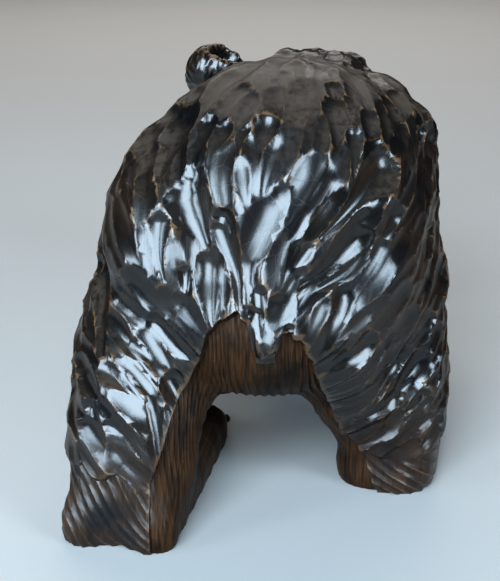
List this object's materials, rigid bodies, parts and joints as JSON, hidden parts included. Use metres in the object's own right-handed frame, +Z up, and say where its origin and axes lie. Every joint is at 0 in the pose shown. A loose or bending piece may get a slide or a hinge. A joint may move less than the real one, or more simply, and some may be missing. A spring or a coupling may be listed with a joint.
{
  "type": "carved wooden bear",
  "caption": "Dark lacquered wooden bear carved from one block, walking on flat soles with its head turned to its left, covered in overlapping gouge cuts.",
  "frame": {"origin": "on the ground under the middle of the whole bear's box", "axes": "+Z up, the bear looks towards -Y with its tail at +Y, its left side is at +X"},
  "size_m": [0.2406, 0.4422, 0.2449],
  "materials": {
    "stained_wood": "near-black stain under glossy lacquer, worn brown on the ridges"
  },
  "bodies": {
    "root": {"bear": "stained_wood"}
  },
  "joints": []
}
